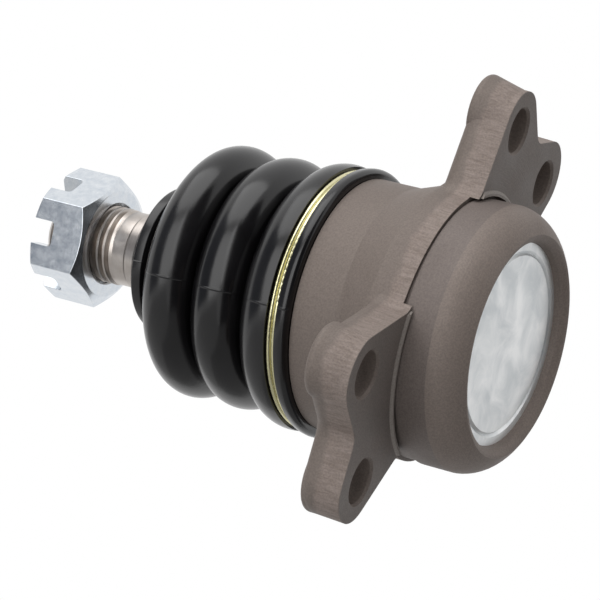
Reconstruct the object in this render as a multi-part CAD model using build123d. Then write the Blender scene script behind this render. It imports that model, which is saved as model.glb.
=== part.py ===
from build123d import *
import os
from math import acos, asin, atan2, cos, degrees, radians, sin, sqrt, tan

# Suspension ball joint with a four-hole flange. Z is the joint's axis, the stud points up.
# The flange leans over about Y: its seating face crosses the axis FLANGE_Z above the origin,
# and the turned register runs through the origin. The plane XZ is the flange's plane of
# symmetry. The joint stands on its rolled rim. All sizes are in millimetres.

# ---- ball and swing: the sizes that the rest is built round ----
BALL_R = 17.0
BALL_Z = 15.0               # the ball's centre above the origin
BALL_FLAT = 0.8             # taken off the bottom of the ball
BALL_FIT = 0.05             # running clearance in the seats
SWING_DEG = 18.0            # either way, about X and about Y
CONE = acos(cos(radians(SWING_DEG)) ** 2)   # the stud's tilt with both at their limit

# ---- seats, pressure plate and disc spring ----
SEAT_WALL = 2.8             # at the ball's widest
SEAT_FIT = 0.05             # seats in the bore
SEAT_CATCH = 9.5            # the upper seat's reach above the ball's centre
SEAT_UNDER = 2.2            # the lower seat's foot below the ball
SEAT_SPLIT = 1.0            # the split lies this far below the centre
SEAT_GAP = 0.8
GREASE_WELL_R = 5.0
GREASE_GROOVE_R = 0.9
GREASE_GROOVES = 6
PLATE_T = 1.5
PLATE_FIT = 0.3
PLATE_HOLE_R = 4.0
SPRING_H = 1.4              # pressed height of the disc spring
SPRING_T = 0.7
SPRING_FIT = 1.3
SPRING_HOLE_R = 9.6

# ---- cavity ----
BORE_R = BALL_R + BALL_FIT + SEAT_WALL + SEAT_FIT
BORE_TOP = BALL_Z + SEAT_CATCH          # shoulder that holds the upper seat
SEAT_BOTTOM = BALL_Z - BALL_R - SEAT_UNDER
COLLAR_T = 6.5              # housing above the bore's shoulder
COLLAR_EASE = 0.3           # the collar's opening is this much wider than the seat's
MOUTH_TOP = BORE_TOP + COLLAR_T
MOUTH_CLEAR = 0.85          # round the stud's neck at full tilt

# ---- end cap and rolled rim ----
CAP_T = 2.4
CAP_FIT = 0.05
CAP_LEDGE = 2.1             # step that the cap seats on
CAP_DISH_IN = 4.35          # ring pressed into the cap, in from its edge
CAP_DISH_D = 0.5
CAP_INNER_Z = SEAT_BOTTOM - PLATE_T - SPRING_H
CAP_OUTER_Z = CAP_INNER_Z - CAP_T
RECESS_R = BORE_R + CAP_LEDGE
CRIMP_OVER = 1.8            # the rolled edge's hold on the cap
CRIMP_FACE = 1.3            # height of the rolled edge's inner face
CRIMP_DRAFT = 0.3
CRIMP_SAG = 0.3
CRIMP_R = RECESS_R - CRIMP_OVER
RIM_WALL = 4.75             # round the cap
RIM_PROUD = 2.5             # the rim's nose beyond the cap
RIM_ROUND = (4.55, 6.5)     # width and height of the rounded side
RIM_SAG = 1.0
REGISTER_R = RECESS_R + RIM_WALL        # turned register that centres the joint in the arm
RIM_BOTTOM = CAP_OUTER_Z - RIM_PROUD
RIM_TOP = RIM_BOTTOM + RIM_ROUND[1]

# ---- barrel ----
BARREL_PROUD = 0.35         # the forged barrel stands this far out of the turned register
BARREL_STEP = 1.5           # the shoulder's radius below the barrel's
BARREL_TAPER_Z = (8.0, 15.5)
BARREL_R = REGISTER_R + BARREL_PROUD
SHOULDER_R = BARREL_R - BARREL_STEP
NECK_H = 6.4                # neck inside the boot's cuff
NECK_STEP = 3.3
NECK_CHAMFER = 0.8
NECK_GROOVE_D = 0.9         # groove that the wire ring squeezes the cuff into
NECK_R = SHOULDER_R - NECK_STEP
SHOULDER_TOP = MOUTH_TOP - NECK_H

# ---- seating face ----
FLANGE_TILT = 5.4           # the flange's lean towards +X, in degrees
FLANGE_Z = 1.85             # where its face crosses the joint's axis
REGISTER_TOP = 0.9          # end of the turned register
UNDERCUT_W = 0.7            # relief groove at the register's root
UNDERCUT_D = 1.9
UNDERCUT_IN = 0.4           # it narrows the shank above the register
BEAD_H = 0.5                # low bead round the groove
BEAD_LAND = 0.5
BEAD_W = 1.1
BEAD_SINK = 1.0             # the bead's and the gusset's overlap with the plate
GROOVE_R = REGISTER_R + UNDERCUT_W

# ---- flange ----
FLANGE_T = 8.8
RING_PROUD = 0.1            # the forged ring beyond the barrel
RING_SLOPE = (3.4, 8.2)     # the ring's upper edge falls in and up to the barrel
RING_EDGE_R = 2.0
RING_R = BARREL_R + RING_PROUD
INNER_HOLE = (24.2, 32.9)   # hole centres on the flange; mirrored about its centre line
OUTER_HOLE = (1.2, 40.8)
HOLE_D = 9.0
HOLE_CHAMFER = 0.5
INNER_EAR_SET = (0.2, 0.4)  # the ears stand slightly outboard of their holes
INNER_EAR_R = 7.6
OUTER_EAR_SET = (0.4, 1.1)
OUTER_EAR_R = 7.7
INNER_ROOT = (68.5, 1.4, 15.9)   # root circle: direction, how far inside the ring, radius
OUTER_ROOT = (74.3, 0.7, 14.3)
WEB_FILLET = 4.0            # hollow corners of the outline
REAR_BEVEL = 2.6            # forged bevel along the stud side
END_IN = 0.3                # the ears' full ends start inside their outline
END_EDGE_R = 1.2
INNER_LEAN = (2.0, 0.8)     # how far each end leans out on its way through the flange
OUTER_LEAN = (-0.8, 0.0)
GUSSET_OUT = 6.5            # reach of the hollow root between the flange and the barrel
GUSSET_UP = 6.5
GUSSET_SAG = 2.0
GUSSET_IN = 1.6             # its head ends inside the barrel all round
GUSSET_INSET = 3.1          # inside the flange's outline
EDGE_BREAK = 0.5

# ---- stud ----
STUD_NECK_R = 7.8
STUD_NECK_FILLET = 1.2
STUD_NECK_H = 23.0          # from the ball's centre to the flare
FLARE_H = 11.0
TAPER_BIG_R = 9.6
TAPER_SMALL_R = 8.1
TAPER_H = 25.0
RELIEF_R = 7.75
RELIEF_H = 3.2
RELIEF_STEP = 0.4
THREAD_R = 8.0              # M16 x 1.5
THREAD_H = 14.8
STUD_CHAMFER = 1.2
COTTER_D = 3.5
COTTER_DROP = 4.6           # hole centre below the stud's end
FLARE_START = BALL_Z + STUD_NECK_H
TAPER_START = FLARE_START + FLARE_H
TAPER_TOP = TAPER_START + TAPER_H
THREAD_START = TAPER_TOP + RELIEF_H
STUD_TOP = THREAD_START + THREAD_H
MOUTH_R = (MOUTH_TOP - BALL_Z) * tan(CONE) + STUD_NECK_R / cos(CONE) + MOUTH_CLEAR

# ---- castle nut ----
NUT_AF = 24.0
NUT_UP = 4.8                # bearing face above the start of the thread
NUT_H = 12.8
NUT_TURN = 17.0             # direction of one flat, from X
NUT_BORE_FIT = 0.02
NUT_SINK = 0.94             # countersink at both ends of the bore
NUT_WASHER_IN = 0.8         # bearing circle inside the flats
NUT_CHAMFER_DEG = 30.0
SLOT_W = 5.2
SLOT_D = 5.4
SLOT_CORNER_R = 0.9
NUT_Z = THREAD_START + NUT_UP
NUT_CORNER_R = NUT_AF / sqrt(3)

# ---- boot: heights are above the barrel's shoulder, radii beyond its neck ----
CUFF_FIT = 0.15             # boot off the neck and the shoulder
BOOT_WALL = 2.2
CUFF_WALL = 5.4
CUFF_CORNER = 1.2
CUFF_DRAFT = 0.5
CUFF_COVER = 4.9            # height of the cuff's bore
RING_SEAT_WALL = 3.05
RING_UP = 3.85              # middle of the two-turn wire ring
WIRE_D = 1.1
WIRE_FIT = 0.05
WIRE_BITE = 0.02            # the two turns of wire touch by this much
ROLL_DEG = 78.0             # each roll runs this far either side of its crown
ROLLS = (                   # height, reach and roll radius of the three rolls
    (6.5, 4.9, 6.5),
    (19.0, 3.55, 5.85),
    (30.3, 3.8, 5.4),
)
CREASES = (                 # height and depth of the creases between them
    (13.1, 2.7),
    (24.9, 2.9),
)
BOOT_NECK_UP = 37.8
BOOT_NECK_H = 3.2
BOOT_NECK_WALL = 2.45
BOOT_BORE_FIT = 0.35
LIP_T = 2.1
LIP_OUT = 3.4
LIP_TIP = (1.45, 2.9)       # the sealing lip's tip: beyond the bore, and above the lip
NECK_WIRE_D = 1.2
CUFF_BORE_R = NECK_R + CUFF_FIT
CUFF_FOOT = SHOULDER_TOP + CUFF_FIT
RING_Z = SHOULDER_TOP + RING_UP
BOOT_NECK_Z = SHOULDER_TOP + BOOT_NECK_UP
LIP_Z = BOOT_NECK_Z + BOOT_NECK_H


LEAN = Pos(0, 0, FLANGE_Z) * Rot(0, FLANGE_TILT, 0)     # places what is drawn on the flange


def revolved(*lines):
    """Solid of revolution about Z from a closed run of edges in the XZ plane (X is the radius)."""
    return revolve(make_face(Plane.XZ * Wire(lines)), Axis.Z)


def poly(*points):
    """Solid of revolution about Z from (radius, z) corners."""
    return revolve(make_face(Plane.XZ * Polyline(*points, close=True)), Axis.Z)


def path(*points):
    """Straight edges from point to point."""
    return [Line(a, b) for a, b in zip(points, points[1:])]


def disc(radius, z0, z1):
    """Upright cylinder between two heights."""
    return Pos(0, 0, z0) * Cylinder(radius, z1 - z0, align=(Align.CENTER, Align.CENTER, Align.MIN))


def arm(hole, ear_set, radius, root, inset):
    """Plan of one arm: an ear joined by tangents to a root circle, all moved in by inset."""
    ear = (hole[0] + ear_set[0], hole[1] + ear_set[1])
    reach = RING_R - root[1]
    foot = (reach * cos(radians(root[0])), reach * sin(radians(root[0])))
    towards = degrees(atan2(foot[1] - ear[1], foot[0] - ear[0]))
    tip = Pos(*ear) * Rot(0, 0, towards) * Circle(radius - inset)
    base = Pos(*foot) * Rot(0, 0, towards + 180) * Circle(root[2] - inset)
    return make_hull(tip.edges() + base.edges())


def is_corner(vertex, edges):
    """True where two edges meet at an angle, rather than running on smoothly."""
    here = vertex.center()
    meeting = [e for e in edges if min((e @ 0 - here).length, (e @ 1 - here).length) < 1e-4]
    tangents = [e % 0 if (e @ 0 - here).length < 1e-4 else e % 1 for e in meeting]
    return abs(tangents[0].dot(tangents[1])) < 0.996


def flange_block(height, inset=0, bottom=0):
    """Block with the flange's plan: two pairs of ears, with the hollow corners rounded."""
    side = arm(INNER_HOLE, INNER_EAR_SET, INNER_EAR_R, INNER_ROOT, inset)
    side += arm(OUTER_HOLE, OUTER_EAR_SET, OUTER_EAR_R, OUTER_ROOT, inset)
    ring = Rot(0, 0, 90) * Circle(RING_R - inset)
    plan = ring + side + mirror(side, Plane.XZ)
    edges = plan.edges()
    corners = [v.center() for v in plan.vertices() if is_corner(v, edges)]
    block = Pos(0, 0, bottom) * extrude(plan, height)
    upright = block.edges().filter_by(Axis.Z)
    hollow = [e for e in upright if any((e.center() - c).cross(Vector(0, 0, 1)).length < 0.01
                                        for c in corners)]
    return fillet(hollow, WEB_FILLET + inset)


def rim_and_barrel():
    """Turned and rolled outside of the housing, as one solid of revolution."""
    nose = (REGISTER_R - RIM_ROUND[0], RIM_BOTTOM)
    side = (REGISTER_R, RIM_TOP)
    edge = (CRIMP_R + CRIMP_DRAFT, CAP_OUTER_Z - CRIMP_FACE)
    groove = NECK_R - NECK_GROOVE_D
    return revolved(
        *path((0, CAP_OUTER_Z), (CRIMP_R, CAP_OUTER_Z), edge),
        SagittaArc(edge, nose, -CRIMP_SAG),
        SagittaArc(nose, side, -RIM_SAG),
        *path(
            side,
            (REGISTER_R, REGISTER_TOP),
            (BARREL_R, REGISTER_TOP),
            (BARREL_R, BARREL_TAPER_Z[0]),
            (SHOULDER_R, BARREL_TAPER_Z[1]),
            (SHOULDER_R, SHOULDER_TOP),
            (NECK_R, SHOULDER_TOP),
            (NECK_R, RING_Z - WIRE_D),
            (groove, RING_Z - WIRE_D / 2),
            (groove, RING_Z + WIRE_D / 2),
            (NECK_R, RING_Z + WIRE_D),
            (NECK_R, MOUTH_TOP - NECK_CHAMFER),
            (NECK_R - NECK_CHAMFER, MOUTH_TOP),
            (0, MOUTH_TOP),
            (0, CAP_OUTER_Z),
        ),
    )


def flange_ring():
    """Forged ring round the barrel, falling in and up to it at the top."""
    top = FLANGE_T + RING_SLOPE[1]
    ring = poly((0, 0), (RING_R, 0), (RING_R, FLANGE_T), (RING_R - RING_SLOPE[0], top), (0, top))
    edge = ring.edges().filter_by(GeomType.CIRCLE).group_by(Axis.Z)[1]
    return fillet(edge, RING_EDGE_R)


def flange_gusset():
    """Hollow root that runs from the ears up the barrel."""
    foot = (SHOULDER_R + GUSSET_OUT, FLANGE_T - REAR_BEVEL / 2)
    head = (SHOULDER_R - GUSSET_IN, FLANGE_T + GUSSET_UP)
    hollow = revolved(
        SagittaArc(foot, head, GUSSET_SAG),
        *path(head, (head[0], BEAD_SINK), (foot[0], BEAD_SINK), foot),
    )
    return hollow & flange_block(FLANGE_T + GUSSET_UP, GUSSET_INSET)


def flange_plate():
    """Plate with the ears, bevelled on the stud side."""
    plate = flange_block(FLANGE_T)
    return fillet(plate.faces().sort_by(Axis.Z)[-1].outer_wire().edges(), REAR_BEVEL)


def ear_end(hole, ear_set, radius, lean):
    """Full end of an ear: a round post that leans outwards towards the stud side."""
    x, y = hole[0] + ear_set[0], hole[1] + ear_set[1]
    round_end = Circle(radius - END_IN)
    post = loft([Pos(x, y, 0) * round_end, Pos(x + lean[0], y + lean[1], FLANGE_T) * round_end])
    return fillet(post.faces().sort_by(Axis.Z)[-1].edges(), END_EDGE_R)


def ear_ends():
    """The four ears' ends, fuller than the plate's bevel leaves them."""
    ends = ear_end(INNER_HOLE, INNER_EAR_SET, INNER_EAR_R, INNER_LEAN)
    ends += ear_end(OUTER_HOLE, OUTER_EAR_SET, OUTER_EAR_R, OUTER_LEAN)
    return ends + mirror(ends, Plane.XZ)


def face_bead():
    """Low turned bead on the seating face, cut off at the flange's outline."""
    bead = poly((REGISTER_R, BEAD_SINK), (REGISTER_R, -BEAD_H), (GROOVE_R + BEAD_LAND, -BEAD_H),
                (GROOVE_R + BEAD_W, 0), (GROOVE_R + BEAD_W, BEAD_SINK))
    return bead & flange_block(2 * FLANGE_T, EDGE_BREAK, -FLANGE_T)


def bolt_holes():
    """The four bolt holes, each with its edge broken on the seating face."""
    r = HOLE_D / 2
    drill = disc(r, -BEAD_H, FLANGE_T + GUSSET_UP)
    sink = Pos(0, 0, HOLE_CHAMFER / 2) * Cone(r + HOLE_CHAMFER, r, HOLE_CHAMFER)
    tool = drill + sink
    holes = Part()
    for x, y in (INNER_HOLE, OUTER_HOLE):
        for side in (1, -1):
            holes += Pos(x, side * y, 0) * tool
    return holes


def undercut():
    """Narrow groove along the seating face, outside the register and the shank above it."""
    groove = LEAN * disc(GROOVE_R, 2 * RIM_BOTTOM, UNDERCUT_D)
    register = disc(REGISTER_R, 3 * RIM_BOTTOM, REGISTER_TOP)
    shank = disc(REGISTER_R - UNDERCUT_IN, REGISTER_TOP, FLANGE_Z + FLANGE_T)
    return groove - register - shank


def seat_opening():
    """Radius of the ball seat where it ends under the housing's shoulder."""
    return sqrt((BALL_R + BALL_FIT) ** 2 - SEAT_CATCH**2)


def make_housing():
    flange = flange_plate() + ear_ends() + flange_ring() + flange_gusset() + face_bead()
    body = rim_and_barrel() + LEAN * (flange - bolt_holes())
    cavity = poly(
        (0, CAP_OUTER_Z), (RECESS_R, CAP_OUTER_Z), (RECESS_R, CAP_INNER_Z), (BORE_R, CAP_INNER_Z),
        (BORE_R, BORE_TOP), (seat_opening() + COLLAR_EASE, BORE_TOP), (MOUTH_R, MOUTH_TOP),
        (0, MOUTH_TOP),
    )
    return body - undercut() - cavity


def make_end_cap():
    """Pressed steel disc with a shallow ring, held by the rolled rim."""
    radius = RECESS_R - CAP_FIT
    ring = radius - CAP_DISH_IN
    dish = poly((ring, CAP_OUTER_Z), (ring + CAP_DISH_D, CAP_OUTER_Z + CAP_DISH_D),
                (ring + 2 * CAP_DISH_D, CAP_OUTER_Z))
    return disc(radius, CAP_OUTER_Z, CAP_INNER_Z) - dish


def make_pressure_plate():
    low = SEAT_BOTTOM - PLATE_T
    return disc(BORE_R - PLATE_FIT, low, SEAT_BOTTOM) - disc(PLATE_HOLE_R, low, SEAT_BOTTOM)


def make_preload_spring():
    """Conical disc spring, wide end on the cap, narrow end under the pressure plate."""
    radius = BORE_R - SPRING_FIT
    top = CAP_INNER_Z + SPRING_H
    return poly((radius, CAP_INNER_Z), (radius, CAP_INNER_Z + SPRING_T), (SPRING_HOLE_R, top),
                (SPRING_HOLE_R, top - SPRING_T))


def seat_blank(z0, z1):
    """Turned seat ring, hollowed for the ball and grooved for grease."""
    seat = disc(BORE_R - SEAT_FIT, z0, z1) - Pos(0, 0, BALL_Z) * Sphere(BALL_R + BALL_FIT)
    groove = Pos(BALL_R, 0, BALL_Z) * Cylinder(GREASE_GROOVE_R, 4 * BALL_R)
    return seat - PolarLocations(0, GREASE_GROOVES) * groove


def make_upper_seat():
    return seat_blank(BALL_Z - SEAT_SPLIT + SEAT_GAP / 2, BORE_TOP)


def make_lower_seat():
    well = disc(GREASE_WELL_R, SEAT_BOTTOM, BALL_Z)
    return seat_blank(SEAT_BOTTOM, BALL_Z - SEAT_SPLIT - SEAT_GAP / 2) - well


def taper_radius(z):
    """Radius of the stud's taper at a height."""
    return TAPER_SMALL_R + (TAPER_TOP - z) / TAPER_H * (TAPER_BIG_R - TAPER_SMALL_R)


def make_ball_stud():
    """Ball, waisted neck, taper, relief and threaded end, with the cotter hole."""
    ball = Pos(0, 0, BALL_Z) * Sphere(BALL_R)
    ball -= disc(BALL_R, BALL_Z - 2 * BALL_R, BALL_Z - BALL_R + BALL_FLAT)
    head = ball + disc(STUD_NECK_R, BALL_Z, FLARE_START)
    junction = BALL_Z + sqrt(BALL_R**2 - STUD_NECK_R**2)
    seam = [e for e in head.edges() if abs(e.center(CenterOf.BOUNDING_BOX).Z - junction) < 0.1]
    head = fillet(seam, STUD_NECK_FILLET)
    flare = Spline(
        (STUD_NECK_R, FLARE_START), (TAPER_BIG_R, TAPER_START),
        tangents=((0, 1), (TAPER_SMALL_R - TAPER_BIG_R, TAPER_H)),
    )
    shank = revolved(
        flare,
        *path(
            (TAPER_BIG_R, TAPER_START),
            (TAPER_SMALL_R, TAPER_TOP),
            (RELIEF_R, TAPER_TOP + RELIEF_STEP),
            (RELIEF_R, THREAD_START),
            (THREAD_R, THREAD_START + RELIEF_STEP),
            (THREAD_R, STUD_TOP - STUD_CHAMFER),
            (THREAD_R - STUD_CHAMFER, STUD_TOP),
            (0, STUD_TOP),
            (0, FLARE_START),
            (STUD_NECK_R, FLARE_START),
        ),
    )
    hole = Rot(0, 90, 0) * Cylinder(COTTER_D / 2, 4 * THREAD_R)
    return head + shank - Rot(0, 0, NUT_TURN) * Pos(0, 0, STUD_TOP - COTTER_DROP) * hole


def make_castle_nut():
    """Six-slot castle nut, corners chamfered at both ends, slots across the flats."""
    top = NUT_Z + NUT_H
    turned = Rot(0, 0, NUT_TURN + 30) * RegularPolygon(NUT_CORNER_R, 6)
    washer_r = NUT_AF / 2 - NUT_WASHER_IN
    drop = (NUT_CORNER_R - washer_r) * tan(radians(NUT_CHAMFER_DEG))
    envelope = poly((0, NUT_Z), (washer_r, NUT_Z), (NUT_CORNER_R, NUT_Z + drop),
                    (NUT_CORNER_R, top - drop), (washer_r, top), (0, top))
    bore_r = THREAD_R + NUT_BORE_FIT
    bore = poly((0, NUT_Z), (bore_r + NUT_SINK, NUT_Z), (bore_r, NUT_Z + NUT_SINK),
                (bore_r, top - NUT_SINK), (bore_r + NUT_SINK, top), (0, top))
    slot = Box(2 * NUT_AF, SLOT_W, SLOT_D, align=(Align.MIN, Align.CENTER, Align.MAX))
    slot = fillet(slot.faces().sort_by(Axis.Z)[0].edges().filter_by(Axis.X), SLOT_CORNER_R)
    slots = Rot(0, 0, NUT_TURN) * Pos(0, 0, top) * PolarLocations(0, 6) * slot
    return (Pos(0, 0, NUT_Z) * extrude(turned, NUT_H) & envelope) - bore - slots


def bellows(wall, first_deg):
    """The rolls from the cuff up, as joined edges, moved in by the wall's thickness."""
    edges = []
    for i, (height, reach, roll) in enumerate(ROLLS):
        start = -ROLL_DEG if i else first_deg
        centre = (NECK_R + reach - roll, SHOULDER_TOP + height)
        arc = CenterArc(centre, roll - wall, start, ROLL_DEG - start)
        if i > 0:
            up, depth = CREASES[i - 1]
            crease = (NECK_R - depth - wall, SHOULDER_TOP + up)
            edges += path(edges[-1] @ 1, crease, arc @ 0)
        edges.append(arc)
    return edges


def make_boot():
    """Moulded bellows: thick cuff with a wire seat, three rolls and a lipped neck."""
    bore = taper_radius(BOOT_NECK_Z) + BOOT_BORE_FIT
    neck = bore + BOOT_NECK_WALL
    cuff_r = NECK_R + CUFF_WALL
    seat_r = NECK_R + RING_SEAT_WALL
    lip_r = neck + LIP_OUT
    tip = (bore + LIP_TIP[0], LIP_Z + LIP_T + LIP_TIP[1])
    ring_top = RING_Z + WIRE_D
    corner = (cuff_r - CUFF_CORNER, CUFF_FOOT)
    edge = (cuff_r, CUFF_FOOT + CUFF_CORNER)
    height, _, roll = ROLLS[0]
    outer = bellows(0, degrees(asin((ring_top - SHOULDER_TOP - height) / roll)))
    inner = bellows(BOOT_WALL, -ROLL_DEG)
    return revolved(
        Line((CUFF_BORE_R, CUFF_FOOT), corner),
        RadiusArc(corner, edge, -CUFF_CORNER),
        *path(
            edge,
            (cuff_r - CUFF_DRAFT, RING_Z - WIRE_D),
            (seat_r, RING_Z - WIRE_D),
            (seat_r, ring_top),
            outer[0] @ 0,
        ),
        *outer,
        *path(
            outer[-1] @ 1,
            (neck, BOOT_NECK_Z),
            (neck, LIP_Z),
            (lip_r, LIP_Z),
            (lip_r, LIP_Z + LIP_T),
            tip,
            (bore, tip[1]),
            (bore, BOOT_NECK_Z - BOOT_WALL),
            inner[-1] @ 1,
        ),
        *inner,
        *path(
            inner[0] @ 0,
            (CUFF_BORE_R, SHOULDER_TOP + CUFF_COVER),
            (CUFF_BORE_R, CUFF_FOOT),
        ),
    )


def make_boot_ring():
    """Two turns of round wire, one above the other, in the seat round the cuff."""
    turn = Torus(NECK_R + RING_SEAT_WALL + WIRE_FIT + WIRE_D / 2, WIRE_D / 2)
    half_pitch = WIRE_D / 2 - WIRE_BITE
    return Pos(0, 0, RING_Z - half_pitch) * turn + Pos(0, 0, RING_Z + half_pitch) * turn


def make_neck_ring():
    """Wire ring in the groove behind the boot's lip."""
    neck = taper_radius(BOOT_NECK_Z) + BOOT_BORE_FIT + BOOT_NECK_WALL
    ring = Torus(neck + WIRE_FIT + NECK_WIRE_D / 2, NECK_WIRE_D / 2)
    return Pos(0, 0, LIP_Z - WIRE_FIT - NECK_WIRE_D / 2) * ring


PARTS = {
    "housing": make_housing,
    "end_cap": make_end_cap,
    "pressure_plate": make_pressure_plate,
    "preload_spring": make_preload_spring,
    "lower_seat": make_lower_seat,
    "upper_seat": make_upper_seat,
    "ball_stud": make_ball_stud,
    "castle_nut": make_castle_nut,
    "boot": make_boot,
    "boot_ring_wire": make_boot_ring,
    "boot_neck_ring": make_neck_ring,
}

os.makedirs("parts", exist_ok=True)
for node, build in PARTS.items():
    export_step(build(), f"parts/{node}.step")
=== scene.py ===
from math import asin, atan2, ceil, cos, degrees, pi, radians, sin, sqrt, tan

import bmesh
import bpy
from mathutils import Matrix, Vector


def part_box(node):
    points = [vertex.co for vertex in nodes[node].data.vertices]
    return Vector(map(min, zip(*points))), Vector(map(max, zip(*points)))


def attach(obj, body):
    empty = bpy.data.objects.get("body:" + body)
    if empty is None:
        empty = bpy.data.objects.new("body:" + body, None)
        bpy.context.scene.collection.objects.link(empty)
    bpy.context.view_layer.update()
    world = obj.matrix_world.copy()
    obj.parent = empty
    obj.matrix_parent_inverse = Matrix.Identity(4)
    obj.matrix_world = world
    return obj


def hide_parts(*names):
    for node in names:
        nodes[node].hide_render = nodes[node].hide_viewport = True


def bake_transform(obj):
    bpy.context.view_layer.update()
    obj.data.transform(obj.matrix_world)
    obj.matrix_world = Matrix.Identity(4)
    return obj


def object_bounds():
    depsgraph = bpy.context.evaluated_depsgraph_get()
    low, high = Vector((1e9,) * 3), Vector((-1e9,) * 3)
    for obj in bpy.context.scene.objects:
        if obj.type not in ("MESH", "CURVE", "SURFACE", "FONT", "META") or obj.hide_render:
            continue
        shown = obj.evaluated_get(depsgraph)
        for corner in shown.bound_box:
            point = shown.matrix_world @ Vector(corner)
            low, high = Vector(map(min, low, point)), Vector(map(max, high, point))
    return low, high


# Suspension ball joint with a flanged housing, in metres. Z is the joint's axis, the stud
# points up, and the joint stands on its rolled rim.
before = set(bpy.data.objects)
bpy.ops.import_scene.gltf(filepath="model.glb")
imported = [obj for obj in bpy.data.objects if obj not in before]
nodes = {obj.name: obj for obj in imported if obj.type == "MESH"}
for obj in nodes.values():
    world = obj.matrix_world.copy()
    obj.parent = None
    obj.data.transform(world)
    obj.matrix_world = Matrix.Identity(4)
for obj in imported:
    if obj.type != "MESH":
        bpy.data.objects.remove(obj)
cad_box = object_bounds()
MM = 0.001


# ---- housing ----
# A steel forging with four bolt ears, turned on the rim and the register, then phosphated.
# The press that trimmed its flash left a bright, finely scored band round the flange's edge.

def linear(code):
    """Linear colour of an sRGB hex value."""
    channels = [int(code[i:i + 2], 16) / 255 for i in (1, 3, 5)]
    return [c / 12.92 if c <= 0.04045 else ((c + 0.055) / 1.055) ** 2.4 for c in channels] + [1.0]


def new_finish(name, **uniform):
    """A material and its tree and shader; uniform values go straight to the shader's sockets."""
    material = bpy.data.materials.new(name)
    material.use_nodes = True
    shader = material.node_tree.nodes["Principled BSDF"]
    for socket, value in uniform.items():
        shader.inputs[socket.replace("_", " ")].default_value = value
    return material, material.node_tree, shader


def add(tree, kind, links=None, **settings):
    """Adds one node; links gives its inputs as values, sockets or nodes (their first output)."""
    node = tree.nodes.new("ShaderNode" + kind)
    for name, value in settings.items():
        setattr(node, name, value)
    for name, value in (links or {}).items():
        source = value.outputs[0] if isinstance(value, bpy.types.Node) else value
        if isinstance(source, bpy.types.NodeSocket):
            tree.links.new(source, node.inputs[name])
        else:
            node.inputs[name].default_value = source
    return node


def measured(tree):
    """The object's own coordinates in millimetres: the vector, x, y, z and distance from the axis."""
    where = add(tree, "TexCoord").outputs["Object"]
    mm = add(tree, "VectorMath", {0: where, "Scale": 1 / MM}, operation="SCALE")
    split = add(tree, "SeparateXYZ", {0: mm})
    level = add(tree, "VectorMath", {0: mm, 1: (1, 1, 0)}, operation="MULTIPLY")
    out = add(tree, "VectorMath", {0: level}, operation="LENGTH").outputs["Value"]
    return mm, split.outputs[0], split.outputs[1], split.outputs[2], out


FORGED = "#80756F"
FORGED_DARK = "#72675F"
TRIMMED = "#958881"
TRIMMED_DARK = "#83766E"
TURNED_RIM = "#82766E"
REGISTER = "#756B66"
FACE = "#6E6864"
# the bead's paler colour: partly its bare turned finish, partly a painted highlight from light on its
# outward cone
BEAD_WITH_HIGHLIGHT = "#928A84"
FLASH_TOP = 5.2             # mm, the trimmed band's height above the seating face
SCORE_PITCH = 0.5           # mm; the press's real scores are finer and wouldn't show
FLANGE_Z = 1.85             # mm, where the leaning seating face crosses the joint's axis
LEAN = radians(5.4)
ACROSS = (cos(LEAN), 0, -sin(LEAN))     # the flange's own axes, away from its hinge line
NORMAL = (sin(LEAN), 0, cos(LEAN))      # and up from its seating face
INNER_HOLE = (24.2, 32.9, 0)
OUTER_HOLE = (1.2, 40.8, 0)
HOLE_R = 4.5
RIM_TOP = -5.5              # height where the turned rim ends and the register starts
REGISTER_R = 26.75
CRYSTAL = 0.35              # mm; real phosphate crystals are ten times finer
TURNING = 0.3               # mm; the tool's real feed is about half of this


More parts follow.
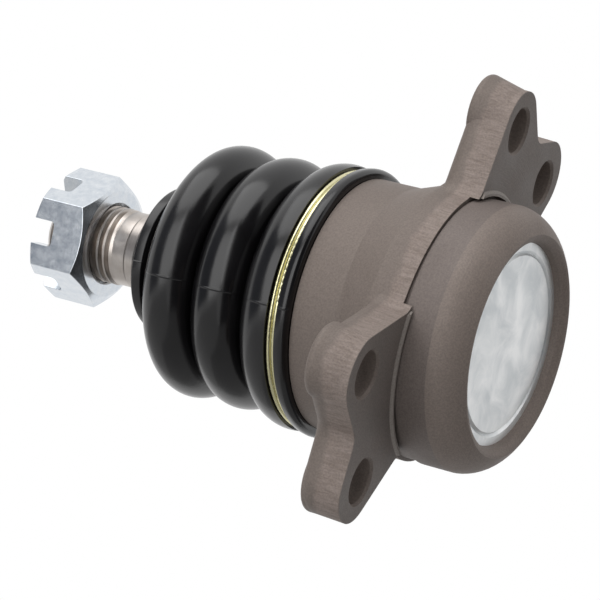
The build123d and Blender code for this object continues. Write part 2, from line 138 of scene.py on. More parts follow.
def phosphated_forging():
    """Grey-brown phosphate: a dull, slightly metallic skin with fine crystals and soft clouds."""
    material, tree, shader = new_finish("phosphated_steel_forging", Metallic=0.2)
    mm, _, y, z, out = measured(tree)
    normal = add(tree, "TexCoord").outputs["Normal"]
    facing = add(tree, "VectorMath", {0: normal, 1: NORMAL}, operation="DOT_PRODUCT")
    steep = add(tree, "Math", {0: facing.outputs["Value"]}, operation="ABSOLUTE")
    lifted = add(tree, "VectorMath", {0: mm, 1: (0, 0, FLANGE_Z)}, operation="SUBTRACT")
    along_x = add(tree, "VectorMath", {0: lifted, 1: ACROSS}, operation="DOT_PRODUCT")
    above_face = add(tree, "VectorMath", {0: lifted, 1: NORMAL}, operation="DOT_PRODUCT")
    u, h = along_x.outputs["Value"], above_face.outputs["Value"]

    clouds = add(tree, "TexNoise", {"Vector": mm, "Scale": 1 / 9, "Detail": 4.0, "Roughness": 0.6})
    crystals = add(tree, "TexNoise", {"Vector": mm, "Scale": 1 / CRYSTAL, "Detail": 3.0})
    dents = add(tree, "TexNoise", {"Vector": mm, "Scale": 1 / 3.5, "Detail": 3.0})
    skin = add(tree, "Mix", {0: clouds, 6: linear(FORGED_DARK), 7: linear(FORGED)},
               data_type="RGBA").outputs[2]
    grit = add(tree, "MapRange", {0: crystals, 1: 0.35, 2: 0.65, 3: 0.86, 4: 1.1})

    # the trimmed band: upright walls beyond the barrel and outside the bolt holes
    across = add(tree, "CombineXYZ", {0: u, 1: add(tree, "Math", {0: y}, operation="ABSOLUTE")})
    to_inner = add(tree, "VectorMath", {0: across, 1: INNER_HOLE}, operation="DISTANCE")
    to_outer = add(tree, "VectorMath", {0: across, 1: OUTER_HOLE}, operation="DISTANCE")
    nearest = add(tree, "Math", {0: to_inner.outputs["Value"], 1: to_outer.outputs["Value"]},
                  operation="MINIMUM")
    off_holes = add(tree, "MapRange", {0: nearest, 1: HOLE_R + 0.6, 2: HOLE_R + 0.8})
    upright = add(tree, "MapRange", {0: steep, 1: 0.65, 2: 0.4})
    ragged = add(tree, "TexNoise", {"Vector": mm, "Scale": 1 / 5, "Detail": 3.0})
    height = add(tree, "Math", {0: ragged, 1: 2.5, 2: h}, operation="MULTIPLY_ADD")
    below = add(tree, "MapRange", {0: height, 1: FLASH_TOP + 1.8, 2: FLASH_TOP + 0.8})
    above = add(tree, "MapRange", {0: h, 1: 0.05, 2: 0.2})
    beyond = add(tree, "MapRange", {0: out, 1: REGISTER_R + 0.1, 2: REGISTER_R + 0.3})
    band = upright
    for mask in (off_holes, below, above, beyond):
        band = add(tree, "Math", {0: band, 1: mask}, operation="MULTIPLY")
    along = add(tree, "VectorMath", {0: mm, 1: (1, 1, 0.12)}, operation="MULTIPLY")
    scores = add(tree, "TexNoise", {"Vector": along, "Scale": 1 / SCORE_PITCH, "Detail": 2.0})
    scored = add(tree, "MapRange", {0: scores, 1: 0.3, 2: 0.7})
    band_colour = add(tree, "Mix", {0: scored, 6: linear(TRIMMED_DARK), 7: linear(TRIMMED)},
                      data_type="RGBA").outputs[2]
    colour = add(tree, "Mix", {0: band, 6: skin, 7: band_colour}, data_type="RGBA").outputs[2]

    # turned zones, from the seating face down to the rolled rim
    turning = add(tree, "CombineXYZ", {0: out, 1: 0.0, 2: z})
    lines = add(tree, "TexNoise", {"Vector": turning, "Scale": 1 / TURNING, "Detail": 2.0})
    machined = add(tree, "MapRange", {0: h, 1: 0.03, 2: 0.01})
    face_colour = add(tree, "Mix", {0: clouds, 6: linear(FACE), 7: linear(FORGED)},
                      data_type="RGBA").outputs[2]
    colour = add(tree, "Mix", {0: machined, 6: colour, 7: face_colour}, data_type="RGBA").outputs[2]
    # below the seating face, the bead: a paler turned finish with a painted highlight mixed in
    bead_with_highlight = add(tree, "MapRange", {0: h, 1: -0.02, 2: -0.12})
    colour = add(tree, "Mix", {0: bead_with_highlight, 6: colour, 7: linear(BEAD_WITH_HIGHLIGHT)}, data_type="RGBA").outputs[2]
    inside = add(tree, "MapRange", {0: out, 1: REGISTER_R + 0.3, 2: REGISTER_R + 0.1})
    low = add(tree, "MapRange", {0: h, 1: 2.2, 2: 1.8})
    register = add(tree, "Math", {0: inside, 1: low}, operation="MULTIPLY")
    colour = add(tree, "Mix", {0: register, 6: colour, 7: linear(REGISTER)},
                 data_type="RGBA").outputs[2]
    rim = add(tree, "MapRange", {0: z, 1: RIM_TOP + 0.1, 2: RIM_TOP - 0.1})
    rim_colour = add(tree, "Mix", {0: lines, 6: linear(FORGED), 7: linear(TURNED_RIM)},
                     data_type="RGBA").outputs[2]
    colour = add(tree, "Mix", {0: rim, 6: colour, 7: rim_colour}, data_type="RGBA").outputs[2]
    colour = add(tree, "VectorMath", {0: colour, "Scale": grit}, operation="SCALE")
    tree.links.new(colour.outputs[0], shader.inputs["Base Color"])

    rough = add(tree, "MapRange", {0: clouds, 1: 0.3, 2: 0.7, 3: 0.55, 4: 0.68})
    rough = add(tree, "Math", {0: band, 1: 0.05, 2: rough}, operation="MULTIPLY_ADD")
    tree.links.new(rough.outputs[0], shader.inputs["Roughness"])

    # relief: forged dents and crystals, replaced by turning lines on the turned zones
    forged_relief = add(tree, "Math", {0: crystals, 1: 0.12, 2: dents}, operation="MULTIPLY_ADD")
    score_relief = add(tree, "Math", {0: scored, 1: 0.8, 2: forged_relief},
                       operation="MULTIPLY_ADD")
    relief = add(tree, "Mix", {0: band, 2: forged_relief, 3: score_relief})
    relief = add(tree, "Mix", {0: machined, 2: relief, 3: lines})
    bump = add(tree, "Bump", {"Strength": 0.35, "Distance": 0.15 * MM, "Height": relief})
    tree.links.new(bump.outputs[0], shader.inputs["Normal"])
    return material


def dress(piece, *finishes):
    """Gives a piece its materials in place of the ones it came with."""
    piece.data.materials.clear()
    for finish in finishes:
        piece.data.materials.append(finish)


dress(nodes["housing"], phosphated_forging())


# ---- ball seats ----
# Two moulded acetal rings that the ball turns in. They are sealed inside the housing.

ACETAL = "#E4E1D4"
ACETAL_SHADE = "#D6D2C2"


def moulded_acetal():
    """Natural acetal: off-white and waxy, with a faint cloud from the flow of the melt."""
    material, tree, shader = new_finish("moulded_natural_acetal", IOR=1.48)
    mm, *_ = measured(tree)
    flow = add(tree, "TexNoise", {"Vector": mm, "Scale": 1 / 6, "Detail": 3.0})
    colour = add(tree, "Mix", {0: flow, 6: linear(ACETAL_SHADE), 7: linear(ACETAL)},
                 data_type="RGBA").outputs[2]
    tree.links.new(colour, shader.inputs["Base Color"])
    rough = add(tree, "MapRange", {0: flow, 3: 0.28, 4: 0.42})
    tree.links.new(rough.outputs[0], shader.inputs["Roughness"])
    return material


acetal = moulded_acetal()
for name in ("upper_seat", "lower_seat"):
    dress(nodes[name], acetal)


# ---- ball stud ----
# Forged alloy steel, turned and ground: a ball, a waisted neck, a taper for the steering arm,
# a relief and a rolled M16 thread with a cross hole for the cotter pin.

def arc(centre, radius, start, end, step):
    """Points on an arc in the (radius, height) plane, angles in degrees from the outward axis."""
    count = max(1, ceil(abs(end - start) / step))
    turn = [radians(start + (end - start) * i / count) for i in range(count + 1)]
    return [(centre[0] + radius * cos(a), centre[1] + radius * sin(a)) for a in turn]


def eased(corners, step=18):
    """A profile with rounded corners, from (radius, height, rounding) triples."""
    points = [corners[0][:2]]
    for before, here, after in zip(corners, corners[1:], corners[2:]):
        at = Vector(here[:2])
        back = (Vector(before[:2]) - at).normalized()
        on = (Vector(after[:2]) - at).normalized()
        if here[2] == 0:
            points.append(tuple(at))
            continue
        half = back.angle(on) / 2
        centre = at + (back + on).normalized() * (here[2] / sin(half))
        first = at + back * (here[2] / tan(half)) - centre
        last = at + on * (here[2] / tan(half)) - centre
        count = max(1, ceil(degrees(pi - 2 * half) / step))
        start = atan2(first.y, first.x)
        sweep = (atan2(last.y, last.x) - start + pi) % (2 * pi) - pi
        for i in range(count + 1):
            turn = start + sweep * i / count
            points.append((centre.x + here[2] * cos(turn), centre.y + here[2] * sin(turn)))
    points.append(corners[-1][:2])
    return points


def mesh_piece(name, points, faces, sharp=35):
    """A shaded mesh object from points in millimetres; doubles are merged, and normals made to agree."""
    mesh = bpy.data.meshes.new(name)
    work = bmesh.new()
    verts = [work.verts.new(Vector(p) * MM) for p in points]
    for face in faces:
        corners = [verts[i] for i in dict.fromkeys(face)]
        if len(corners) > 2:
            work.faces.new(corners)
    bmesh.ops.remove_doubles(work, verts=work.verts, dist=0.002 * MM)
    bmesh.ops.dissolve_degenerate(work, edges=work.edges, dist=0.002 * MM)
    bmesh.ops.recalc_face_normals(work, faces=work.faces)
    work.to_mesh(mesh)
    work.free()
    mesh.shade_smooth()
    mesh.set_sharp_from_angle(angle=radians(sharp))
    piece = bpy.data.objects.new(name, mesh)
    bpy.context.scene.collection.objects.link(piece)
    return piece


def lathed(name, profile, turns, closed=False, relief=None, sharp=35):
    """A profile of (radius, height) turned through the azimuths; relief adds to the radius."""
    points = []
    for i, (r, z) in enumerate(profile):
        for a in turns:
            r_here = r + relief(i, z, a) if relief else r
            points.append((r_here * cos(a), r_here * sin(a), z))
    n = len(turns)
    rows = len(profile)
    last = rows if closed else rows - 1
    faces = [(i * n + j, i * n + (j + 1) % n, (i + 1) % rows * n + (j + 1) % n, (i + 1) % rows * n + j)
             for i in range(last) for j in range(n)]
    return mesh_piece(name, points, faces, sharp)


def round_turn(count):
    """Evenly spaced azimuths of a full turn."""
    return [2 * pi * j / count for j in range(count)]


def settle(piece):
    """Makes a piece's modifiers part of its mesh."""
    done = bpy.data.meshes.new_from_object(piece.evaluated_get(bpy.context.evaluated_depsgraph_get()))
    piece.modifiers.clear()
    piece.data = done


def cut(piece, tool, operation="DIFFERENCE"):
    """Boolean of two closed meshes; the tool is used up."""
    change = piece.modifiers.new("cut", "BOOLEAN")
    change.object = tool
    change.operation = operation
    change.solver = "EXACT"
    settle(piece)
    bpy.data.objects.remove(tool)


stud_low, stud_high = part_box("ball_stud")
STUD_PROUD = 1.5                    # mm above the plain stud, so that its end shows in the slots
STUD_TOP = stud_high.z / MM + STUD_PROUD
BALL_R = stud_high.x / MM
BALL_Z = 15.0
BALL_FOOT = stud_low.z / MM
NECK_R = 7.8
FLARE_Z = (38.0, 49.0)
FLARE_STEPS = 12
TAPER = (9.6, 8.1, 25.0)            # radius at the bottom, at the top, and height
RELIEF_R = 7.75
RELIEF_H = 3.2
THREAD_R = 8.0
THREAD_PITCH = 1.5
THREAD_DEPTH = 0.92
THREAD_CREST = 0.3                  # share of the pitch that is crest, then flank, root and flank
THREAD_FLANK = 0.27
STUD_CHAMFER = 1.2
COTTER_D = 3.5
COTTER_DROP = 6.1                   # below the stud's end
DRILL_HALF = 12                     # past both sides of the thread
NUT_TURN = 17                       # degrees, direction of one flat and of the cross hole
STUD_SIDES = 128
TAPER_TOP = FLARE_Z[1] + TAPER[2]
THREAD_Z = TAPER_TOP + RELIEF_H


def thread_depth(phase):
    """Depth below the crest at a share of the pitch: flat crest, flank, flat root, flank."""
    off_crest = max(0.0, abs(phase - 0.5) - THREAD_CREST / 2)
    return THREAD_DEPTH * min(1.0, off_crest / THREAD_FLANK)


def thread_rows():
    """Shares of the pitch where the helical rows run: close on the flanks."""
    crest = THREAD_CREST / 2
    flank = crest + THREAD_FLANK
    return [0.0, 0.5 - flank, 0.5 - (crest + flank) / 2, 0.5 - crest, 0.5, 0.5 + crest,
            0.5 + (crest + flank) / 2, 0.5 + flank]


def threaded_rod(low, high, base_r):
    """A closed threaded rod: its rows follow the helix, and its ends are cut square."""
    shares = thread_rows()
    per_turn = len(shares)
    turns = ceil((high - low) / THREAD_PITCH) + 2
    top_r = THREAD_R - STUD_CHAMFER
    points = []
    for j in range(STUD_SIDES):
        a = 2 * pi * j / STUD_SIDES
        for k in range(turns * per_turn):
            share = shares[k % per_turn]
            free = low + THREAD_PITCH * (k // per_turn - 1 + share + j / STUD_SIDES)
            z = min(max(free, low), high)
            r = THREAD_R - thread_depth(share)
            run_in = min(1.0, max(0.0, (z - low) / THREAD_PITCH))
            r = base_r + (r - base_r) * run_in
            r = min(r, top_r + (high - z))
            points.append((r * cos(a), r * sin(a), z))
    rows = turns * per_turn
    faces = []
    for j in range(STUD_SIDES):
        seam = j == STUD_SIDES - 1
        for k in range(rows - 1):
            here = j * rows + k
            shift = per_turn if seam else 0
            there = (0 if seam else (j + 1) * rows) + k + shift
            if k + 1 + shift < rows:
                faces.append((here, there, there + 1, here + 1))
    return points, faces


def ball_stud():
    """The whole stud in one mesh, with the thread and the cross hole."""
    junction = degrees(asin(sqrt(BALL_R ** 2 - NECK_R ** 2) / BALL_R))
    foot = degrees(asin((BALL_FOOT - BALL_Z) / BALL_R))
    profile = [(0, BALL_FOOT)] + arc((0, BALL_Z), BALL_R, foot, junction, 5)
    profile.append((NECK_R, FLARE_Z[0]))
    for i in range(1, FLARE_STEPS + 1):
        t = i / FLARE_STEPS
        profile.append((NECK_R + (TAPER[0] - NECK_R) * t * t * (3 - 2 * t),
                        FLARE_Z[0] + (FLARE_Z[1] - FLARE_Z[0]) * t))
    profile += eased([(TAPER[0], FLARE_Z[1], 0), (TAPER[1], TAPER_TOP, 0.15),
                      (RELIEF_R, TAPER_TOP + 0.4, 0.25), (RELIEF_R, THREAD_Z, 0)])[1:]
    points, faces = threaded_rod(THREAD_Z, STUD_TOP, RELIEF_R)
    n = STUD_SIDES
    base = len(points)
    for r, z in profile:
        points += [(r * cos(a), r * sin(a), z) for a in round_turn(n)]
    faces += [(base + i * n + j, base + i * n + (j + 1) % n, base + (i + 1) * n + (j + 1) % n,
               base + (i + 1) * n + j) for i in range(len(profile) - 1) for j in range(n)]
    tip = len(points)
    top_r = THREAD_R - STUD_CHAMFER
    points += [(top_r * cos(a), top_r * sin(a), STUD_TOP) for a in round_turn(n)]
    points.append((0, 0, STUD_TOP))
    faces += [(tip + j, tip + (j + 1) % n, tip + n) for j in range(n)]
    stud = mesh_piece("ball_stud_turned", points, faces, 30)
    drill = lathed("drill", [(0, -DRILL_HALF), (COTTER_D / 2, -DRILL_HALF),
                             (COTTER_D / 2, DRILL_HALF), (0, DRILL_HALF)], round_turn(32))
    drill.data.transform(Matrix.Translation((0, 0, (STUD_TOP - COTTER_DROP) * MM))
                         @ Matrix.Rotation(radians(NUT_TURN), 4, "Z")
                         @ Matrix.Rotation(radians(90), 4, "Y"))
    cut(stud, drill)
    stud.data.set_sharp_from_angle(angle=radians(30))
    return stud


STEEL = "#BFB9B4"
STEEL_WARM = "#A79F98"
TOOL_RINGS = 0.25           # mm; the real rings are finer and wouldn't show


def turned_alloy_steel():
    """Bare turned steel: warm grey, with fine rings left by the tool round the axis."""
    material, tree, shader = new_finish("turned_alloy_steel", Metallic=1.0)
    mm, _, _, z, _ = measured(tree)
    rings = add(tree, "CombineXYZ", {0: 0.0, 1: 0.0, 2: z})
    marks = add(tree, "TexNoise", {"Vector": rings, "Scale": 1 / TOOL_RINGS, "Detail": 3.0})
    stain = add(tree, "TexNoise", {"Vector": mm, "Scale": 1 / 2.5, "Detail": 4.0})
    blend = add(tree, "Math", {0: marks, 1: stain}, operation="MULTIPLY")
    blend = add(tree, "MapRange", {0: blend, 1: 0.1, 2: 0.4})
    colour = add(tree, "Mix", {0: blend, 6: linear(STEEL_WARM), 7: linear(STEEL)},
                 data_type="RGBA").outputs[2]
    tree.links.new(colour, shader.inputs["Base Color"])
    rough = add(tree, "MapRange", {0: stain, 3: 0.22, 4: 0.4})
    tree.links.new(rough.outputs[0], shader.inputs["Roughness"])
    bump = add(tree, "Bump", {"Strength": 0.3, "Distance": 0.02 * MM, "Height": marks})
    tree.links.new(bump.outputs[0], shader.inputs["Normal"])
    return material


stud = ball_stud()
dress(stud, turned_alloy_steel())
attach(stud, "stud")
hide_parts("ball_stud")


# ---- pressure plate and disc spring ----
# A pressed plate and a conical spring that take up the play under the lower seat.

OILED = "#4A4B4D"
OILED_BLUE = "#3A3F46"


def oiled_spring_steel():
    """Hardened and oiled steel: dark grey with a bluish temper cast, smooth and half glossy."""
    material, tree, shader = new_finish("oiled_spring_steel", Metallic=1.0)
    mm, *_ = measured(tree)
    temper = add(tree, "TexNoise", {"Vector": mm, "Scale": 1 / 5, "Detail": 3.0})
    colour = add(tree, "Mix", {0: temper, 6: linear(OILED), 7: linear(OILED_BLUE)},
                 data_type="RGBA").outputs[2]
    tree.links.new(colour, shader.inputs["Base Color"])
    rough = add(tree, "MapRange", {0: temper, 3: 0.3, 4: 0.45})
    tree.links.new(rough.outputs[0], shader.inputs["Roughness"])
    return material


spring_steel = oiled_spring_steel()
for name in ("pressure_plate", "preload_spring"):
    dress(nodes[name], spring_steel)


# ---- end cap ----
# A disc pressed from sheet steel and zinc plated, set on a step and held by the rolled rim.

ZINC = "#EEEFEF"
ZINC_CLOUD = "#DADEE0"


def plated_cap():
    """Dull silver zinc: nearly white, with cloudy patches left by the plating bath."""
    material, tree, shader = new_finish("zinc_plated_sheet", Metallic=0.85)
    mm, *_ = measured(tree)
    clouds = add(tree, "TexNoise", {"Vector": mm, "Scale": 1 / 7, "Detail": 5.0,
                                    "Roughness": 0.6, "Distortion": 0.6})
    patches = add(tree, "MapRange", {0: clouds, 1: 0.35, 2: 0.65})
    colour = add(tree, "Mix", {0: patches, 6: linear(ZINC_CLOUD), 7: linear(ZINC)},
                 data_type="RGBA").outputs[2]
    tree.links.new(colour, shader.inputs["Base Color"])
    rough = add(tree, "MapRange", {0: patches, 3: 0.5, 4: 0.36})
    tree.links.new(rough.outputs[0], shader.inputs["Roughness"])
    grain = add(tree, "TexNoise", {"Vector": mm, "Scale": 1 / 0.5, "Detail": 3.0})
    bump = add(tree, "Bump", {"Strength": 0.15, "Distance": 0.03 * MM, "Height": grain})
    tree.links.new(bump.outputs[0], shader.inputs["Normal"])
    return material


dress(nodes["end_cap"], plated_cap())


# ---- boot ----
# A moulded rubber bellows of three rolls. Its cuff sits on the barrel's neck, and its lipped
# neck grips the stud. It is two meshes that meet in the upper crease, where the real boot's two
# bends part: the lower one about X with the housing, the upper one about Y with the stud.

SHOULDER = 24.6             # mm, the barrel's shoulder, which the rolls' heights start from
BARREL_NECK_R = 22.3        # and the radius that their reach starts from
CUFF_BORE_R = 22.45
CUFF_FOOT = 24.75
CUFF_R = 27.7
CUFF_CORNER = 1.2
CUFF_TOP_R = 27.2
RING_SEAT_R = 25.35
RING_Z = 28.45
RING_HALF = 1.1
ROLL_DEG = 78
ROLLS = ((6.5, 4.9, 6.5), (19.0, 3.55, 5.85), (30.3, 3.8, 5.4))     # height, reach, roll radius
CREASES = ((13.1, 2.7), (24.9, 2.9))                                # height, depth
CREASE_R = 0.5
BOOT_WALL = 2.2
BOOT_BORE_R = 9.15
BOOT_NECK_R = 11.6
BOOT_NECK_Z = 62.4
LIP_Z = 65.6
LIP_T = 2.1
LIP_R = 15.0
LIP_TIP = (10.6, 70.6)
SEAM_DEG = -45.5            # the mould's parting line; the other one is opposite
SEAM_H = 0.16
SEAM_HALF = 0.22
SEAM_R = 27                 # the rolls' radius, about, where the seam's width is true
SEAM_CLEAR = 0.022          # radians on each side of a seam that only its own rows use
BOOT_SIDES = 216
INNER_FOOT = SHOULDER + 4.9 # where the hollow inside starts
SPLIT = CREASES[1]


def roll(index, wall, start=-ROLL_DEG, step=5):
    """Points round one roll, moved in by the wall."""
    height, reach, radius = ROLLS[index]
    centre = (BARREL_NECK_R + reach - radius, SHOULDER + height)
    return arc(centre, radius - wall, start, ROLL_DEG, step)


def crease(index, wall):
    """A crease as a small hollow arc, or its plain point on the inside."""
    up, depth = CREASES[index]
    r = BARREL_NECK_R - depth - wall
    z = SHOULDER + up
    if wall:
        return [(r, z)]
    return arc((r + CREASE_R, z), CREASE_R, 240, 120, 30)


def boot_azimuths():
    """Azimuths of a full turn, closer together over the two parting lines."""
    base = round_turn(BOOT_SIDES)
    for seam in (radians(SEAM_DEG), radians(SEAM_DEG + 180)):
        fine = [seam + k * 0.1 / SEAM_R for k in range(-4, 5)]
        base = [a for a in base if abs((a - seam + pi) % (2 * pi) - pi) > SEAM_CLEAR]
        base += [a % (2 * pi) for a in fine]
    return sorted(base)


def seam_relief(i, z, a):
    """The parting line's low ridge, and the slight waviness of moulded rubber."""
    wave = 0.05 * sin(3 * a + z / 7) + 0.04 * sin(5 * a - z / 4)
    off = abs((a - radians(SEAM_DEG) + pi / 2) % pi - pi / 2) * SEAM_R
    return wave + SEAM_H * max(0.0, 1 - (off / SEAM_HALF) ** 2)


def boot_piece(name, outer, inner):
    """One length of the boot as a closed mesh: outside up, inside down."""
    profile = outer + inner
    outside = len(outer)

    def relief(i, z, a):
        return seam_relief(i, z, a) if i < outside else 0.0

    return lathed(name, profile, boot_azimuths(), closed=True, relief=relief, sharp=40)


first = degrees(asin((RING_Z + RING_HALF - SHOULDER - ROLLS[0][0]) / ROLLS[0][2]))
cuff = eased([(CUFF_BORE_R, CUFF_FOOT, 0), (CUFF_R, CUFF_FOOT, CUFF_CORNER),
              (CUFF_TOP_R, RING_Z - RING_HALF, 0.35), (RING_SEAT_R, RING_Z - RING_HALF, 0.2),
              (RING_SEAT_R, RING_Z + RING_HALF, 0.2), roll(0, 0, first)[0] + (0,)])
split_out = [(BARREL_NECK_R - SPLIT[1], SHOULDER + SPLIT[0])]
split_in = [(BARREL_NECK_R - SPLIT[1] - BOOT_WALL, SHOULDER + SPLIT[0])]
lower = boot_piece(
    "boot_lower",
    cuff + roll(0, 0, first)[1:] + crease(0, 0) + roll(1, 0) + crease(1, 0)[:2] + split_out,
    split_in + (roll(0, BOOT_WALL, step=10) + crease(0, BOOT_WALL)
                + roll(1, BOOT_WALL, step=10))[::-1] + [(CUFF_BORE_R, INNER_FOOT)],
)
neck = eased([roll(2, 0)[-1] + (0,), (BOOT_NECK_R, BOOT_NECK_Z, 0.3), (BOOT_NECK_R, LIP_Z, 0.3),
              (LIP_R, LIP_Z, 0.35), (LIP_R, LIP_Z + LIP_T, 0.5), LIP_TIP + (0.4,),
              (BOOT_BORE_R, LIP_TIP[1], 0.3), (BOOT_BORE_R, BOOT_NECK_Z - BOOT_WALL, 0)])
upper = boot_piece(
    "boot_upper",
    split_out + crease(1, 0)[-2:] + roll(2, 0) + neck[1:],
    roll(2, BOOT_WALL, step=10)[::-1] + split_in,
)

RUBBER = "#0C0B0D"
RUBBER_WORN = "#161517"


def moulded_rubber():
    """Black chloroprene rubber: half glossy from the mould, with duller handled patches."""
    material, tree, shader = new_finish("moulded_black_rubber", IOR=1.5)
    mm, *_ = measured(tree)
    handled = add(tree, "TexNoise", {"Vector": mm, "Scale": 1 / 12, "Detail": 4.0})
    dust = add(tree, "TexNoise", {"Vector": mm, "Scale": 1 / 1.2, "Detail": 4.0, "Roughness": 0.7})
    worn = add(tree, "MapRange", {0: handled, 1: 0.4, 2: 0.75})
    colour = add(tree, "Mix", {0: worn, 6: linear(RUBBER), 7: linear(RUBBER_WORN)},
                 data_type="RGBA").outputs[2]
    tree.links.new(colour, shader.inputs["Base Color"])
    rough = add(tree, "MapRange", {0: handled, 1: 0.3, 2: 0.7, 3: 0.16, 4: 0.26})
    tree.links.new(rough.outputs[0], shader.inputs["Roughness"])
    bump = add(tree, "Bump", {"Strength": 0.12, "Distance": 0.06 * MM, "Height": dust})
    tree.links.new(bump.outputs[0], shader.inputs["Normal"])
    return material


rubber = moulded_rubber()
for piece in (lower, upper):
    dress(piece, rubber)
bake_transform(lower)
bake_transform(upper)
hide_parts("boot")
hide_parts("boot")


# ---- clamping rings ----
# Two turns of yellow zinc wire round the cuff, and a black wire ring in the groove of the neck.

YELLOW_ZINC = "#E2DEBC"
YELLOW_ZINC_DEEP = "#CFC896"
BLACKED = "#1A1A1B"
BLACKED_RUBBED = "#2B2A2A"


def plated_wire(name, pale, deep, rough_low, rough_high):
    """Drawn wire: even colour with a slight drift along the turn, and a clean half gloss."""
    material, tree, shader = new_finish(name, Metallic=1.0)
    mm, *_ = measured(tree)
    drift = add(tree, "TexNoise", {"Vector": mm, "Scale": 1 / 4, "Detail": 3.0})
    colour = add(tree, "Mix", {0: drift, 6: linear(pale), 7: linear(deep)},
                 data_type="RGBA").outputs[2]
    tree.links.new(colour, shader.inputs["Base Color"])
    rough = add(tree, "MapRange", {0: drift, 3: rough_low, 4: rough_high})
    tree.links.new(rough.outputs[0], shader.inputs["Roughness"])
    return material


dress(nodes["boot_ring_wire"],
      plated_wire("yellow_zinc_plated_wire", YELLOW_ZINC, YELLOW_ZINC_DEEP, 0.24, 0.3))
dress(nodes["boot_neck_ring"],
      plated_wire("blacked_spring_wire", BLACKED, BLACKED_RUBBED, 0.35, 0.5))


# ---- castle nut ----
# A cold formed steel nut with six slots for the cotter pin, chamfered and bright zinc plated.

nut_low, nut_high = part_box("castle_nut")
NUT_Z = nut_low.z / MM
NUT_TOP = nut_high.z / MM
NUT_AF = 24.0
NUT_CORNER_R = NUT_AF / sqrt(3)
NUT_WASHER_R = 11.2
NUT_DROP = (NUT_CORNER_R - NUT_WASHER_R) * tan(radians(30))
NUT_BORE_R = 8.02
NUT_SINK = 0.7
SLOT_W = 5.2
SLOT_D = 5.4
SLOT_CORNER = 0.9
NUT_EDGE = 0.22
PAST_CORNER = (0.5, 0.29)   # how far the chamfering cone runs out past the corners, and its rise


def slot_tool(turn):
    """A bar with two rounded lower edges that cuts one slot."""
    half = SLOT_W / 2
    bottom = NUT_TOP - SLOT_D
    outline = eased([(-half, NUT_TOP + 2, 0), (-half, bottom, SLOT_CORNER), (half, bottom, SLOT_CORNER),
                     (half, NUT_TOP + 2, 0)])
    n = len(outline)
    points = [(x, y, z) for x in (0, 2 * NUT_AF) for y, z in outline]
    faces = [(i, (i + 1) % n, n + (i + 1) % n, n + i) for i in range(n)]
    faces += [tuple(range(n)), tuple(range(n, 2 * n))]
    tool = mesh_piece("slot", points, faces)
    tool.data.transform(Matrix.Rotation(radians(turn), 4, "Z"))
    return tool


def castle_nut():
    """Hexagon, chamfered by a cone at both ends, bored and slotted."""
    corners = [radians(NUT_TURN + 30 + 60 * k) for k in range(6)]
    nut = lathed("castle_nut_formed", [(0, NUT_Z), (NUT_CORNER_R, NUT_Z), (NUT_CORNER_R, NUT_TOP),
                                       (0, NUT_TOP)], corners)
    envelope = [(0, NUT_Z), (NUT_WASHER_R, NUT_Z),
                (NUT_CORNER_R + PAST_CORNER[0], NUT_Z + NUT_DROP + PAST_CORNER[1]),
                (NUT_CORNER_R + PAST_CORNER[0], NUT_TOP - NUT_DROP - PAST_CORNER[1]),
                (NUT_WASHER_R, NUT_TOP), (0, NUT_TOP)]
    cut(nut, lathed("envelope", envelope, round_turn(120)), "INTERSECT")
    bore = [(0, NUT_Z - 1), (NUT_BORE_R + NUT_SINK, NUT_Z - 1), (NUT_BORE_R + NUT_SINK, NUT_Z),
            (NUT_BORE_R, NUT_Z + NUT_SINK), (NUT_BORE_R, NUT_TOP - NUT_SINK),
            (NUT_BORE_R + NUT_SINK, NUT_TOP), (NUT_BORE_R + NUT_SINK, NUT_TOP + 1), (0, NUT_TOP + 1)]
    cut(nut, lathed("bore", bore, round_turn(96)))
    for k in range(6):
        cut(nut, slot_tool(NUT_TURN + 60 * k))
    edges = nut.modifiers.new("edges", "BEVEL")
    edges.width = NUT_EDGE * MM
    edges.segments = 2
    edges.limit_method = "ANGLE"
    edges.angle_limit = radians(28)
    # the bevels take the second material, the paler zinc that paints the edges' highlight
    edges.material = 1
    settle(nut)
    nut.data.shade_smooth()
    nut.data.set_sharp_from_angle(angle=radians(8))
    return nut


BRIGHT_ZINC = "#DCE0E4"
BRIGHT_ZINC_BLUE = "#C9D0D8"
# paler zinc for the nut's bevelled edges: a painted highlight where the edges catch the light
PAINTED_EDGE_HIGHLIGHT = "#F4F6F8"


def bright_zinc(name, pale, blue):
    """Bright zinc with a clear passivate: bluish white, with the small blotches of handling."""
    material, tree, shader = new_finish(name, Metallic=1.0)
    mm, *_ = measured(tree)
    blotch = add(tree, "TexNoise", {"Vector": mm, "Scale": 1 / 1.6, "Detail": 5.0, "Roughness": 0.65})
    patches = add(tree, "MapRange", {0: blotch, 1: 0.3, 2: 0.7})
    colour = add(tree, "Mix", {0: patches, 6: linear(blue), 7: linear(pale)},
                 data_type="RGBA").outputs[2]
    tree.links.new(colour, shader.inputs["Base Color"])
    rough = add(tree, "MapRange", {0: blotch, 1: 0.3, 2: 0.7, 3: 0.16, 4: 0.24})
    tree.links.new(rough.outputs[0], shader.inputs["Roughness"])
    bump = add(tree, "Bump", {"Strength": 0.1, "Distance": 0.02 * MM, "Height": blotch})
    tree.links.new(bump.outputs[0], shader.inputs["Normal"])
    return material


nut = castle_nut()
# the second finish is the same zinc in a paler colour, a painted highlight along the bevelled edges
dress(nut, bright_zinc("bright_zinc_plate", BRIGHT_ZINC, BRIGHT_ZINC_BLUE),
      bright_zinc("bright_zinc_painted_edge_highlight", PAINTED_EDGE_HIGHLIGHT, BRIGHT_ZINC))
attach(nut, "stud")
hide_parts("castle_nut")


# ---- studio ----
# The camera looks up at the rim from one side. A wide soft lamp hangs over the joint as the
# camera sees it, with a tall strip lamp to the left. Grey screens that only reflections see
# stand round the camera, so that rubber and plating have something dark to show.

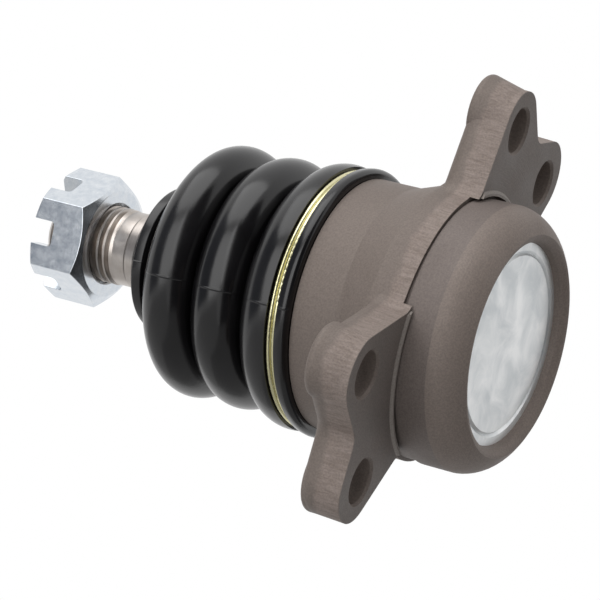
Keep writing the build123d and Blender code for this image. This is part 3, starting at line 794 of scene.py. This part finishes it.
EYE = Vector((0.4269, -0.3235, -0.2361))
LOOK_AT = Vector((0.0108, -0.0102, 0.0291))
UP = Vector((0.6725, 0.7064, 0.2206))
AIM = Vector((0.0, 0.0, 0.035))
ROOM = 1.2                  # m from the joint to the lamps and screens
ROOM_LIGHT = 0.34
TOP_RADIANCE = 1.75
SIDE_RADIANCE = 1.5
STRIP_RADIANCE = 2.2
FLOOR_SIZE = 3.0
FLOOR_WHITE = "#F4F4F4"
SCREENS = (                 # azimuth and elevation from the camera, width and height, and grey
    (-80, 20, 44, 60, "#7C8088"),
    (28, 2, 60, 100, "#333335"),
    (88, -35, 60, 40, "#454547"),
    (-50, -40, 60, 42, "#CDCDCD"),
    (-108, -40, 56, 42, "#CDCDCD"),
    (0, -82, 80, 80, "#A4A4A4"),
)

scene = bpy.context.scene
camera = bpy.data.objects.new("camera", bpy.data.cameras.new("camera"))
camera.data.lens = 180
camera.data.sensor_width = 36
camera.data.clip_start = 0.01
ahead = (LOOK_AT - EYE).normalized()
right = ahead.cross(UP).normalized()
upward = right.cross(ahead)
turned = Matrix((right, upward, -ahead)).transposed()
camera.matrix_world = Matrix.Translation(EYE) @ turned.to_4x4()
scene.collection.objects.link(camera)
scene.camera = camera


def stand(holder, azimuth, elevation):
    """Sets a thing up round the joint, its back to the room; angles are from the camera."""
    a, e = radians(azimuth), radians(elevation)
    way = (right * sin(a) - ahead * cos(a)) * cos(e) + upward * sin(e)
    across = upward.cross(way).normalized()
    facing = Matrix((across, way.cross(across), way)).transposed()
    holder.matrix_world = Matrix.Translation(AIM + way * ROOM) @ facing.to_4x4()
    scene.collection.objects.link(holder)


def soft_lamp(name, azimuth, elevation, width, height, radiance):
    """A rectangular area lamp that faces the joint, as bright as given all over its face."""
    lamp = bpy.data.lights.new(name, "AREA")
    lamp.shape = "RECTANGLE"
    lamp.size = 2 * ROOM * tan(radians(width / 2))
    lamp.size_y = 2 * ROOM * tan(radians(height / 2))
    lamp.energy = radiance * lamp.size * lamp.size_y * pi
    stand(bpy.data.objects.new(name, lamp), azimuth, elevation)


def sheet(name, width, height):
    """A flat sheet of the given width and height."""
    x, y = width / 2, height / 2
    mesh = bpy.data.meshes.new(name)
    mesh.from_pydata([(-x, -y, 0), (x, -y, 0), (x, y, 0), (-x, y, 0)], [], [(0, 1, 2, 3)])
    flat = bpy.data.objects.new(name, mesh)
    return flat


soft_lamp("top_lamp", -30, 74, 62, 46, TOP_RADIANCE)
soft_lamp("side_lamp", -34, 14, 40, 52, SIDE_RADIANCE)
soft_lamp("strip_lamp", -11, 18, 7, 50, STRIP_RADIANCE)

for number, (azimuth, elevation, width, height, grey) in enumerate(SCREENS, 1):
    screen = sheet(f"grey_screen_{number}", 2 * ROOM * tan(radians(width / 2)),
                   2 * ROOM * tan(radians(height / 2)))
    stand(screen, azimuth, elevation)
    cloth, _, shader = new_finish(f"grey_screen_cloth_{number}", Roughness=0.9, Emission_Strength=1.0)
    shader.inputs["Base Color"].default_value = (0, 0, 0, 1)
    shader.inputs["Emission Color"].default_value = linear(grey)
    screen.data.materials.append(cloth)
    screen.visible_camera = False
    screen.visible_diffuse = False
    screen.visible_shadow = False

floor = sheet("floor", FLOOR_SIZE, FLOOR_SIZE)
floor.location = (0, 0, cad_box[0].z)
scene.collection.objects.link(floor)
floor_paint, tree, shader = new_finish("matt_white_floor", Roughness=0.8)
shader.inputs["Base Color"].default_value = linear(FLOOR_WHITE)
see_through = add(tree, "BsdfTransparent")
one_sided = add(tree, "MixShader", {0: add(tree, "NewGeometry").outputs["Backfacing"],
                                    1: shader, 2: see_through})
tree.links.new(one_sided.outputs[0], tree.nodes["Material Output"].inputs["Surface"])
floor.data.materials.append(floor_paint)
floor.visible_diffuse = False
floor.visible_glossy = False
floor.visible_shadow = False

room = bpy.data.worlds.new("white_room")
scene.world = room
room.use_nodes = True
tree = room.node_tree
ray = add(tree, "LightPath")
seen = add(tree, "Math", {0: ray.outputs["Is Camera Ray"], 1: ray.outputs["Is Glossy Ray"]},
           operation="MAXIMUM")
seen = add(tree, "Math", {0: seen, 1: ray.outputs["Is Transmission Ray"]}, operation="MAXIMUM")
strength = add(tree, "MapRange", {0: seen, 3: ROOM_LIGHT, 4: 1.0})
tree.nodes["Background"].inputs["Color"].default_value = (1, 1, 1, 1)
tree.links.new(strength.outputs[0], tree.nodes["Background"].inputs["Strength"])

scene.view_settings.view_transform = "Standard"
